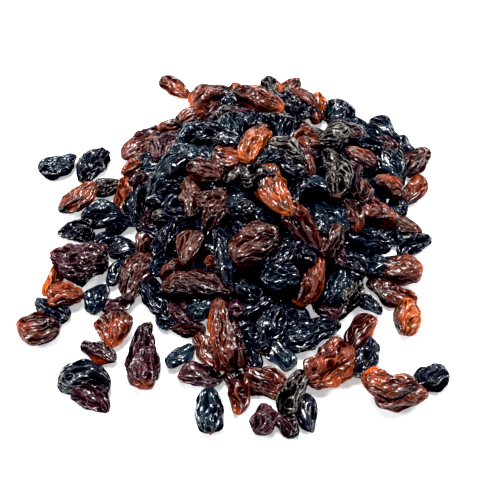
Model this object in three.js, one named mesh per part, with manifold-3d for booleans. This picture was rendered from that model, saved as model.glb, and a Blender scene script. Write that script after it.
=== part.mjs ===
// A heap of raisins tipped out on a table, with a few that have rolled clear of it.
// Millimetres, +Z up. The origin is on the table, under the heap; the viewer is on the -Y side.
import * as THREE from 'three';
import { mergeVertices } from 'three/addons/utils/BufferGeometryUtils.js';
import Module from 'manifold-3d';

const wasm = await Module();
wasm.setup();

// The heap: the middle of its plan, the height of its rim, and how much higher its crown is. These
// are heights of the middles of the raisins that lie on it.
const HEAP = { x: 8, y: 12, rim: 4.5, rise: 25.5, crownPower: 1.9, flankPower: 1.15 };
// How far the heap reaches from its middle, every 30 degrees from +X to the left
const REACHES = [48, 55, 53, 54, 49, 51, 50, 49, 53, 51, 44, 47];
// A hollow in the far side of the heap, where the table shows between the raisins
const HOLLOW = { x: 27, y: 47, reach: 9, depth: 20, floorRadius: 6.5 };
// The packed inside of the heap, which lies under the raisins that show
const CORE = { sunk: 2.8, reach: 0.95, rimHeight: 1.2, rings: 5, spokes: 16, lump: 0.8 };
// Raisins that fill the heap between the ones placed by hand, the largest first.
const FILL = {
  seed: 20, tries: 5200, reach: 0.93, longest: 16.5, shortest: 11, slim: 0.52, stout: 0.72, deepest: 2.2,
};
const NEAREST = 0.74; // share of two raisins' half sizes that must lie between their middles

// One raisin's own shape, as shares of its sizes
const THICKNESS = [0.62, 0.88]; // of its width
const TAPER = 0.30; // wider at one end, like a pear
const BEND = 0.10; // sideways curve, of its length
const ARCH = 0.06; // upward curve, of its length
const LUMPS = [0.07, 0.06, 0.05];
const BLUNTNESS = 2.35; // 2 is an ellipsoid, and more is boxier
const TABLE_ROLL = 14; // degrees either way, about its length
const HEAP_ROLL = 28;
const HEAP_PITCH = 14;
const SLOPE_FOLLOWED = 0.55; // share of the heap's slope by which a raisin on it tilts
const SETTLED = 0.88; // share of the half thickness at which a raisin lies on the table

// Corners of a raisin's skin: rings between its two tips, and sides to a ring
const LONG_RAISIN = { from: 15, rings: 4, sides: 6 };
const SHORT_RAISIN = { rings: 3, sides: 5 };
const SMALLEST_SOLID = 20; // cubic millimetres; a smaller scrap isn't a raisin
const SKIN = new THREE.MeshStandardMaterial({ color: '#2b1519', roughness: 0.5, metalness: 0 });

// Raisins on the heap: x, y, length, width, turn of the length from +X in degrees, and how far
// the raisin stands out of the heap's surface.
const ON_HEAP = [
  // far side, from left to right
  [-10.5, 57, 17, 10.5, 40, 0],
  [-5.5, 42.5, 12, 7.5, 55, -0.5],
  [-17.5, 45, 11, 7, 55, 0],
  [-25, 47, 9.5, 6, 15, 0],
  [-24.5, 36.5, 8.5, 6, 0, -1],
  [-31.5, 45.5, 8.5, 6, 25, 0],
  [6, 46, 20.5, 8.5, -30, 1],
  [1.5, 34.5, 10, 6.5, -25, -0.5],
  [-3, 32.5, 13.5, 9, -65, 0],
  [-10, 29, 10.5, 8.5, 0, 0],
  [18, 52, 9, 6.5, 25, 0.5],
  [17.5, 46, 9, 6.5, 0, 0],
  [20, 39.5, 9, 6, 35, -0.5],
  [22.5, 38, 9, 5.5, -60, -0.5],
  [15, 27, 10.5, 6.5, 80, -0.8],
  [31, 28, 14, 8, 30, 0.5],
  [45.5, 31.5, 9.5, 7.5, 0, 0],
  [52, 44, 14, 10, -35, 0],
  [52.5, 35, 9.5, 7, -65, 0.5],
  [59, 38, 10, 7, -55, 0],
  [53, 29.5, 9.5, 7.5, 0, -0.5],
  [59.5, 30.5, 9, 6, 80, 0],
  // left flank
  [-37.5, 37.5, 14, 7.5, 60, 0],
  [-34.5, 33.5, 13, 6.5, 25, -0.5],
  [-32.5, 40, 9, 6, 40, -0.5],
  [-27.5, 30.5, 14, 6.5, 80, 0.5],
  [-24, 26, 12, 6.5, 75, -0.5],
  [-30.5, 25.5, 9, 7.5, 25, -1],
  [-37.5, 27, 9.5, 6.5, 5, 0],
  [-34.5, 20, 10, 6.5, -10, -0.5],
  [-24, 17.5, 15.5, 8.5, 25, 1],
  [-40.5, 15, 16.5, 7, 80, 0.5],
  [-37.5, 10, 13, 6, 85, -0.5],
  [-33.5, 8.5, 14.5, 7, 80, 0.5],
  [-28.5, 12, 12, 7.5, 35, -0.5],
  [-22.5, 9.5, 9.5, 7.5, 25, 0.5],
  [-27.5, 6.5, 9, 6.5, 0, -1],
  [-23, 4, 9, 6, 45, -1],
  [-30.5, 3, 9.5, 6.5, 65, -0.5],
  [-26, 0.5, 7.5, 6, 0, -0.5],
  [-21, -1, 9.5, 6, -30, -0.5],
  [-30.5, -2.5, 10, 6, -25, -0.5],
  [-32, -6, 8.5, 7, 65, 0],
  [-25, -8.5, 16, 7.5, 55, 1],
  [-25.5, -13, 13.5, 7, 50, -0.5],
  [-23, -18, 8, 7, 0, 0],
  [-36, -16.5, 19, 9, 70, 0.5],
  [-30, -21, 10, 6.5, -65, 0],
  // crown
  [-20.5, 25, 9.5, 7.5, 0, -0.5],
  [-16.5, 21, 10.5, 7, -65, -0.5],
  [-12, 18.5, 9.5, 6.5, -55, -0.5],
  [-11.5, 10.5, 15, 8.5, -35, 1],
  [-4.5, 13, 10.5, 9.5, 0, 0.5],
  [-1.5, 8, 9.5, 6.5, 45, -0.5],
  [-4.5, 22.5, 9, 7.5, 0, -0.5],
  [4.5, 19, 19.5, 9.5, 70, 1],
  [15.5, 15.5, 13.5, 8.5, -30, 0.5],
  [9.5, 13, 10.5, 7.5, 35, 0],
  [22.5, 23.5, 9, 7.5, 25, 0],
  [21.5, 17.5, 8.5, 7, 0, -1],
  [22, 13, 10.5, 6.5, -65, -0.5],
  [17, 9.5, 10.5, 7.5, -35, 0],
  [18.5, 2, 11.5, 7.5, 65, -0.5],
  [6, 4.5, 11.5, 10.5, 0, 1],
  [11, 0.5, 20, 10.5, -65, 1],
  [-16.5, 3, 16.5, 7.5, -85, 1],
  [-9.5, 0, 9.5, 7.5, 0, 0],
  [-8, -6, 10, 8.5, 25, 0.5],
  [0, -4, 10, 7, -15, -0.5],
  [32, 12, 22.5, 10, -85, 1],
  [25.5, 5, 9.5, 7.5, 0, 0],
  // right flank
  [41.5, 23, 12.5, 8, 0, -0.5],
  [53, 24.5, 14.5, 9.5, -45, 0.5],
  [51, 17, 10.5, 9.5, 0, 0.5],
  [55.5, 12.5, 9, 6.5, -75, 0],
  [41, 9, 11, 7, 65, 0.5],
  [37.5, 14, 11, 6.5, -80, 0],
  [42.5, 5, 10.5, 8, -25, 0],
  [37.5, -0.5, 12, 6.5, -60, 0],
  [47.5, 4, 12.5, 8, 0, 0.5],
  [43.5, -6, 17, 9, -20, 0.5],
  [25.5, -6.5, 10.5, 7, -40, -0.5],
  [32.5, -7.5, 12, 8, 75, 0.5],
  [28.5, -11, 9, 7.5, 0, -0.5],
  [32, -14, 9, 6, -55, -0.5],
  [37, -15.5, 12, 8.5, -35, 0.5],
  [44, -13.5, 11, 8.5, -10, 0],
  [33, -21, 18, 8.5, 65, 0],
  // near side
  [20.5, -9, 18.5, 9, -50, 1],
  [-16.5, -14, 12.5, 10, 75, 1],
  [-5, -18.5, 20.5, 8, -80, 1],
  [5, -16, 18, 12, 30, 1.5],
  [-10.5, -19.5, 8, 6.5, 0, -0.5],
  [14.5, -18, 16, 7.5, 35, 0.5],
  [20.5, -16, 10, 6.5, -25, 0],
  [13, -23.5, 12.5, 11, 0, 0.5],
  [23.5, -22.5, 19, 9, 75, 1],
  [21, -29, 8, 6, 0, -0.5],
  [2, -27.5, 10.5, 7, -35, 0.5],
  [-13.5, -24, 25, 10.5, -5, 1.5],
  [-19, -31.5, 13, 7.5, -35, 0],
  [-24.5, -32, 9.5, 7, -55, 0],
  [-17, -36.5, 12.5, 6.5, -15, 0],
  [-13, -31, 10.5, 7, 35, 0],
  [0, -31.5, 9, 6.5, 5, 0],
  [5.5, -31.5, 11, 7, 35, 0],
  [1.5, -36, 9, 7.5, 0, 0],
  [10, -37.5, 19, 11, 65, 1],
];

// Raisins on the table: x, y, length, width, turn, how far the raisin is raised off the table by
// what it leans on, and by how many degrees it rises towards its turn.
const ON_TABLE = [
  // left
  [-64.5, 28, 15.5, 9.5, 25, 0, 0],
  [-52.5, 29.5, 17, 9.5, 55, 0, 0],
  [-56, 13.5, 16.5, 7, 40, 3, 12],
  [-47.5, 8.5, 15, 13, 0, 0, 0],
  [-46.5, 20.5, 12, 8, 10, 0, 0],
  [-56, 1.5, 13.5, 7.5, -10, 0, 0],
  [-42.5, 3, 8, 6, 25, 0, 0],
  [-46.5, -2, 8.5, 6.5, 25, 0, 0],
  [-40, -5, 10, 9, 0, 0, 0],
  [-54, -11.5, 19.5, 13, -5, 0, 0],
  [-41.5, -14.5, 12, 6.5, 65, 0, 0],
  [-63, -17.5, 12, 6, 80, 0, 0],
  [-58, -24, 12, 10, 10, 0, 0],
  [-62, -29, 13, 7, -30, 0, 0],
  [-66, -36.5, 15.5, 11.5, -10, 0, 0],
  [-48, -25, 13, 9, 65, 0, 0],
  [-40.5, -27, 11.5, 6.5, 15, 0, 0],
  [-41, -36.5, 16.5, 12.5, 80, 0, 0],
  [-46, -45, 13, 7, -30, 0, 0],
  // front
  [-49.5, -56, 17.5, 12, -5, 0, 0],
  [-46.5, -62.5, 14, 8.5, -45, 0, 0],
  [-31, -47, 26, 10.5, -90, 0, 0],
  [-19.5, -46.5, 11, 7.5, 40, 0, 0],
  [-10.5, -44.5, 14.5, 7.5, -55, 0, 0],
  [-4.5, -41.5, 24.5, 11, 105, 3.5, 14],
  [3, -45, 13, 6.5, -80, 0, 0],
  [-12.5, -53.5, 14.5, 9, -10, 0, 0],
  [-9.5, -66.5, 17.5, 9.5, 90, 0, 0],
  [-1, -59, 16, 7.5, -80, 0, 0],
  [7.5, -56, 15.5, 10.5, -15, 0, 0],
  [7.5, -69, 12.5, 10, 65, 0, 0],
  [16.5, -61.5, 20.5, 8.5, 65, 2, 0],
  [20.5, -67, 15, 7.5, -75, 0, 0],
  [14.5, -70, 10, 6.5, -40, 0, 0],
  [12.5, -46, 13.5, 8, -40, 0, 0],
  [18.5, -32.5, 9.5, 8.5, 0, 0.5, 0],
  [23.5, -38.5, 19, 9, 15, 0, 0],
  [28.5, -50.5, 19, 13.5, 50, 0, 0],
  [39, -38.5, 15, 8.5, 55, 2, 0],
  [40, -47, 16, 9.5, 65, 0, 0],
  [28.5, -28.5, 13, 7, -45, 0, 0],
  [35.5, -28, 13, 7.5, 55, 0.5, 0],
  [44, -26.5, 11, 6, -40, 0, 0],
  [39, -23, 10.5, 8, -65, 1, 0],
  [50.5, -22.5, 18, 7.5, -25, 0, 0],
  // right
  [55, -33, 14.5, 8, 80, 0, 0],
  [47, -58, 17, 10.5, -10, 3.5, 0],
  [51.5, -61, 17, 9.5, 5, 0, 0],
  [60.5, -54.5, 12.5, 9, -25, 0, 0],
  [53.5, -14.5, 15.5, 12, -15, 0, 0],
  [59.5, -4, 14, 7.5, 35, 0, 0],
  [57, 4.5, 13, 7.5, -40, 0, 0],
  [52, 1, 10, 6, -50, 0, 0],
  [61, 19.5, 15, 7.5, 55, 0, 0],
  [63, 31.5, 14.5, 7.5, 55, 0, 0],
  // far side
  [-23, 66.5, 15, 6.5, -40, 0, 0],
  [-2.5, 64.5, 8.5, 6.5, 80, 0, 0],
  [4, 63.5, 10.5, 7, 10, 0, 0],
  [11, 63, 10.5, 8.5, 80, 0.5, 0],
  [18.5, 67, 11, 7, 50, 0, 0],
  [21.5, 57, 15.5, 10, -45, 0, 0],
  [23.5, 58.5, 12, 7, -40, 3.5, 0],
  [29.5, 58, 13, 6.5, -75, 0, 0],
  [26.5, 53.5, 10, 6, -55, 0, 0],
  [36, 52, 13, 10.5, 65, 0.5, 0],
  [41.5, 45.5, 15.5, 10, -50, 0.5, 0],
];

const { sin, cos, hypot, sqrt, exp, abs, max, PI } = Math;
const radians = THREE.MathUtils.degToRad;

// Seeded random numbers from 0 to 1, the same on every run
function drawFrom(seed) {
  let state = seed >>> 0;
  const draw = () => {
    state = (Math.imul(state, 1664525) + 1013904223) >>> 0;
    return state / 4294967296;
  };
  // The first draws of neighbouring seeds are alike, so they are thrown away.
  for (let i = 0; i < 4; i += 1) draw();
  return draw;
}

// How far the heap reaches from its middle in one direction, in radians from +X
function reachTowards(angle) {
  const step = ((angle / (2 * PI) + 1) % 1) * REACHES.length;
  const from = Math.floor(step);
  const share = (1 - cos(PI * (step - from))) / 2;
  return REACHES[from] * (1 - share) + REACHES[(from + 1) % REACHES.length] * share;
}

// Share of the way from the middle of the heap to its rim
function outward(x, y) {
  const dx = x - HEAP.x;
  const dy = y - HEAP.y;
  return Math.min(hypot(dx, dy) / reachTowards(Math.atan2(dy, dx)), 1);
}

// Height of the middle of a raisin that lies on the heap
function heapHeight(x, y) {
  const flank = 1 - outward(x, y) ** HEAP.crownPower;
  const dip = exp(-((hypot(x - HOLLOW.x, y - HOLLOW.y) / HOLLOW.reach) ** 2));
  return max(HEAP.rim, HEAP.rim + HEAP.rise * flank ** HEAP.flankPower - HOLLOW.depth * dip);
}

// Direction straight out of the heap's surface, eased towards straight up
function heapNormal(x, y) {
  const step = 2;
  const alongX = (heapHeight(x + step, y) - heapHeight(x - step, y)) / (2 * step);
  const alongY = (heapHeight(x, y + step) - heapHeight(x, y - step)) / (2 * step);
  return new THREE.Vector3(-SLOPE_FOLLOWED * alongX, -SLOPE_FOLLOWED * alongY, 1).normalize();
}

// Reach of a raisin's outline in plan, from its middle towards a direction
function planReach(raisin, angle) {
  const off = angle - radians(raisin.turn);
  return 0.5 * hypot(raisin.length * cos(off), raisin.width * sin(off));
}

function isClear(raisin, others) {
  return others.every((other) => {
    const dx = other.x - raisin.x;
    const dy = other.y - raisin.y;
    const angle = Math.atan2(dy, dx);
    return hypot(dx, dy) > NEAREST * (planReach(raisin, angle) + planReach(other, angle));
  });
}

// Every raisin, in the order that its seed follows: the ones placed by hand, then the fill
function allRaisins() {
  const named = (onHeap) => ([x, y, length, width, turn, raise, rising = 0]) => (
    { onHeap, x, y, length, width, turn, raise, rising });
  const raisins = [...ON_HEAP.map(named(true)), ...ON_TABLE.map(named(false))];
  const draw = drawFrom(FILL.seed);
  for (let i = 0; i < FILL.tries; i += 1) {
    const share = FILL.reach * sqrt(draw());
    const bearing = 2 * PI * draw();
    const away = share * reachTowards(bearing);
    const length = FILL.longest + (FILL.shortest - FILL.longest) * (i / FILL.tries);
    const raisin = {
      onHeap: true,
      x: HEAP.x + away * cos(bearing),
      y: HEAP.y + away * sin(bearing),
      length,
      width: length * (FILL.slim + (FILL.stout - FILL.slim) * draw()),
      turn: 180 * draw(),
      raise: -FILL.deepest * draw(),
      rising: 0,
    };
    const inHollow = hypot(raisin.x - HOLLOW.x, raisin.y - HOLLOW.y) < HOLLOW.reach;
    if (!inHollow && isClear(raisin, raisins)) raisins.push(raisin);
  }
  return raisins;
}

// Where a raisin lies and how it is shaped: its middle, its three directions, and its own lumps
function layDown(raisin, index) {
  const draw = drawFrom(1000 + index);
  const within = ([low, high]) => low + (high - low) * draw();
  const either = (size) => size * (2 * draw() - 1);
  const thickness = raisin.width * within(THICKNESS);
  const taper = either(TAPER);
  const bend = either(BEND);
  const arch = either(ARCH);
  const roll = radians(either(raisin.onHeap ? HEAP_ROLL : TABLE_ROLL));
  const pitch = radians(raisin.rising + either(raisin.onHeap ? HEAP_PITCH : 0));
  const phases = LUMPS.map(() => 2 * PI * draw());

  const up = raisin.onHeap ? heapNormal(raisin.x, raisin.y) : new THREE.Vector3(0, 0, 1);
  const turn = radians(raisin.turn);
  const along = new THREE.Vector3(cos(turn), sin(turn), 0);
  along.addScaledVector(up, -along.dot(up)).normalize();
  const across = up.clone().cross(along);
  along.applyAxisAngle(across, -pitch);
  across.applyAxisAngle(along, roll);
  const { x, y } = raisin;
  const onTable = SETTLED * thickness / 2;
  // At the heap's rim the raisins lie on the table.
  const base = raisin.onHeap ? heapHeight(x, y) + (onTable - HEAP.rim) * outward(x, y) ** 6 : onTable;
  return {
    middle: new THREE.Vector3(x, y, base + raisin.raise),
    along,
    across,
    up: along.clone().cross(across),
    half: [raisin.length / 2, raisin.width / 2, thickness / 2],
    taper,
    bend,
    arch,
    phases,
  };
}

// The point of a raisin's skin that lies in direction (dx, dy, dz) from its middle
function skinPoint(lie, dx, dy, dz) {
  const blunt = (abs(dx) ** BLUNTNESS + abs(dy) ** BLUNTNESS + abs(dz) ** BLUNTNESS) ** (-1 / BLUNTNESS);
  const [p, q, r] = lie.phases;
  const lump = 1 + LUMPS[0] * sin(2.6 * dx + 2 * dy + p) + LUMPS[1] * sin(3.4 * dz - 2.2 * dx + q)
    + LUMPS[2] * sin(4 * dy + 3 * dx + r);
  const girth = blunt * lump * (1 + lie.taper * dx);
  const u = lie.half[0] * blunt * dx;
  const v = lie.half[1] * girth * dy + 2 * lie.half[0] * lie.bend * (dx * dx - 0.35);
  const w = lie.half[2] * girth * dz + 2 * lie.half[0] * lie.arch * (dx * dx - 0.35);
  const point = lie.middle.clone()
    .addScaledVector(lie.along, u)
    .addScaledVector(lie.across, v)
    .addScaledVector(lie.up, w);
  point.z = max(point.z, 0); // flat where it rests on the table
  return point;
}

// A closed skin from its corners and its triangles
function closedSkin(points, triangles) {
  const geometry = new THREE.BufferGeometry();
  geometry.setAttribute('position', new THREE.Float32BufferAttribute(points.flatMap((p) => p.toArray()), 3));
  geometry.setIndex(triangles);
  return geometry;
}

function raisinSkin(lie) {
  const points = [skinPoint(lie, -1, 0, 0)];
  const triangles = [];
  const { rings, sides } = 2 * lie.half[0] < LONG_RAISIN.from ? SHORT_RAISIN : LONG_RAISIN;
  const last = rings * sides + 1;
  for (let ring = 0; ring < rings; ring += 1) {
    const polar = PI * (ring + 0.9) / (rings + 0.8);
    for (let side = 0; side < sides; side += 1) {
      const around = 2 * PI * (side + ring / 2) / sides;
      points.push(skinPoint(lie, -cos(polar), sin(polar) * cos(around), sin(polar) * sin(around)));
      const here = 1 + ring * sides + side;
      const next = 1 + ring * sides + (side + 1) % sides;
      if (ring === 0) triangles.push(0, next, here);
      if (ring < rings - 1) triangles.push(here, next, here + sides, next, next + sides, here + sides);
      else triangles.push(here, next, last);
    }
  }
  points.push(skinPoint(lie, 1, 0, 0));
  return closedSkin(points, triangles);
}

// The packed inside of the heap: a lumpy mound with a flat underside on the table
function coreSkin() {
  const points = [];
  const triangles = [];
  const draw = drawFrom(7);
  const { rings, spokes } = CORE;
  const ground = (ring, spoke) => {
    const angle = 2 * PI * spoke / spokes;
    const away = reachTowards(angle) * CORE.reach * ring / rings;
    return [HEAP.x + away * cos(angle), HEAP.y + away * sin(angle)];
  };
  const topHeight = (x, y) => max(CORE.rimHeight, heapHeight(x, y) - CORE.sunk + CORE.lump * (draw() - 0.5));
  points.push(new THREE.Vector3(HEAP.x, HEAP.y, topHeight(HEAP.x, HEAP.y)));
  for (let ring = 1; ring <= rings; ring += 1) {
    for (let spoke = 0; spoke < spokes; spoke += 1) {
      const [x, y] = ground(ring, spoke);
      points.push(new THREE.Vector3(x, y, ring < rings ? topHeight(x, y) : CORE.rimHeight));
    }
  }
  const rimStart = points.length;
  for (let spoke = 0; spoke < spokes; spoke += 1) points.push(new THREE.Vector3(...ground(rings, spoke), 0));
  points.push(new THREE.Vector3(HEAP.x, HEAP.y, 0));
  for (let spoke = 0; spoke < spokes; spoke += 1) {
    const next = (spoke + 1) % spokes;
    triangles.push(0, 1 + spoke, 1 + next);
    for (let ring = 0; ring < rings; ring += 1) {
      const inner = 1 + ring * spokes; // the last of these bands is the upright rim
      triangles.push(inner + spoke, inner + spokes + spoke, inner + next);
      triangles.push(inner + next, inner + spokes + spoke, inner + spokes + next);
    }
    triangles.push(rimStart + spokes, rimStart + next, rimStart + spoke);
  }
  return closedSkin(points, triangles);
}

function toSolid(geometry) {
  geometry.deleteAttribute('normal').deleteAttribute('uv');
  const merged = mergeVertices(geometry, 1e-4);
  return new wasm.Manifold(new wasm.Mesh({
    numProp: 3,
    vertProperties: merged.attributes.position.array,
    triVerts: new Uint32Array(merged.index.array),
  }));
}

function toMesh(solid, name) {
  const { vertProperties, triVerts } = solid.getMesh();
  const geometry = new THREE.BufferGeometry();
  geometry.setAttribute('position', new THREE.BufferAttribute(vertProperties, 3));
  geometry.setIndex(new THREE.BufferAttribute(triVerts, 1));
  geometry.computeVertexNormals();
  const mesh = new THREE.Mesh(geometry, SKIN.clone());
  mesh.name = name;
  return mesh;
}

const skins = allRaisins().map(layDown).map(raisinSkin);
// The core stops round the hollow, down to the table.
const shaft = new THREE.CylinderGeometry(HOLLOW.floorRadius, HOLLOW.floorRadius, 4 * HEAP.rise, 10);
shaft.rotateX(PI / 2).translate(HOLLOW.x, HOLLOW.y, 0);
const core = toSolid(coreSkin()).subtract(toSolid(shaft));
const joined = wasm.Manifold.union([core, ...skins.map(toSolid)]);
// Raisins that touch are one body, and a hollow sealed inside a body is left filled.
const bodies = joined.decompose()
  .filter((body) => body.volume() > SMALLEST_SOLID)
  .sort((a, b) => b.volume() - a.volume());

const raisinHeap = new THREE.Group();
bodies.forEach((body, i) => {
  raisinHeap.add(toMesh(body, i === 0 ? 'heap' : `loose_${String(i).padStart(2, '0')}`));
});

export default raisinHeap;
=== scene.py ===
"""A heap of raisins tipped out on a pale table, with a few that have rolled clear of it."""

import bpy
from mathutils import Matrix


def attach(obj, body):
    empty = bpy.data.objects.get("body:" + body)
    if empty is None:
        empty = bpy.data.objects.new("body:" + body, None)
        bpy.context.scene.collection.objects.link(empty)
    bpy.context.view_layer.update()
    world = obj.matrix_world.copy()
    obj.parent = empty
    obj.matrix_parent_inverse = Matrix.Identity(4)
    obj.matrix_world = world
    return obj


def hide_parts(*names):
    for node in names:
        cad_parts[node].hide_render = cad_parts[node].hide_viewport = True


bl_info = {
    "name": "Raisin heap",
    "version": (1, 0, 0),
    "blender": (4, 5, 0),
    "location": "3D View > Sidebar > Raisins",
    "description": "Adds a heap of wrinkled raisins, dark, brown and amber, on a pale table",
    "category": "Add Mesh",
}

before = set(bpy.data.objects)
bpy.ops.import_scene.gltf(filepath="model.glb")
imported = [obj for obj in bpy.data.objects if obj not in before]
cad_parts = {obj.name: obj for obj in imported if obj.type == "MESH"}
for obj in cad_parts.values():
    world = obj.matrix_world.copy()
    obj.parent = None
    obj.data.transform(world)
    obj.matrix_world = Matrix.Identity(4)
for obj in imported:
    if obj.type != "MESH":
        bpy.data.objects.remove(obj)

import math
from collections import namedtuple
from functools import cache

import bpy
import numpy as np
from bpy.props import FloatProperty, FloatVectorProperty, PointerProperty
from mathutils import Matrix, Vector

MM = 0.001  # the layout and the shapes are in millimetres, and the scene is in metres

# The heap: the middle of its plan, the height of its rim and how much higher its crown is, both
# measured at the middles of the raisins that lie on it.
HEAP_X, HEAP_Y, HEAP_RIM, HEAP_RISE = 8, 12, 4.5, 25.5
CROWN_POWER, FLANK_POWER = 1.9, 1.15  # how flat the crown is, and how its flanks bow in
# How far the heap reaches from its middle, every 30 degrees from +X to the left
REACHES = np.array([48, 55, 53, 54, 49, 51, 50, 49, 53, 51, 44, 47])
# A hollow in the far side of the heap, where the table shows between the raisins
HOLLOW_X, HOLLOW_Y, HOLLOW_REACH, HOLLOW_DEPTH, HOLLOW_FLOOR = 27, 47, 9, 20, 6.5
HOLLOW_FRONT = 29  # the photograph looks into it over the raisins from here on
# Raisins that fill the heap between the listed ones, the largest first.
FILL_SEED, FILL_TRIES, FILL_REACH = 20, 5200, 0.93
FILL_LONGEST, FILL_SHORTEST, FILL_SUNK, FILL_DEEPEST = 16.5, 11, 1.5, 2.2
FILL_SLIM, FILL_STOUT = 0.52, 0.72  # width, as a share of the length
FILL_KINDS = ("blue", "black", "plum", "brown")
NEAREST = 0.74  # share of two raisins' half sizes that must lie between their middles

# One raisin's plain shape, as shares of its sizes
THINNEST, THICKEST = 0.62, 0.88  # of its width
TAPER = 0.30  # wider at one end, like a pear
BEND = 0.10  # sideways curve, of its length
ARCH = 0.06  # upward curve, of its length
CURVE_LEVEL = 0.35  # keeps a curved raisin in its place
LUMPS = (0.07, 0.06, 0.05)
LUMP_WAVES = ((2.6, 2, 0), (-2.2, 0, 3.4), (3, 4, 0))  # how often they rise along, across and up
BLUNTNESS = (1.8, 2.4)  # 2 is an ellipsoid, less is more pointed, and more is boxier
TABLE_ROLL = 14  # degrees either way, about its length
HEAP_ROLL = 28
HEAP_PITCH = 14
SLOPE_FOLLOWED = 0.55  # share of the heap's slope by which a raisin on it tilts
SETTLED = 0.88  # share of the half thickness at which a raisin lies on the table
RIM_POWER = 6  # how near to its rim the heap's raisins come down onto the table
SHAPE_SEED = 1000
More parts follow.
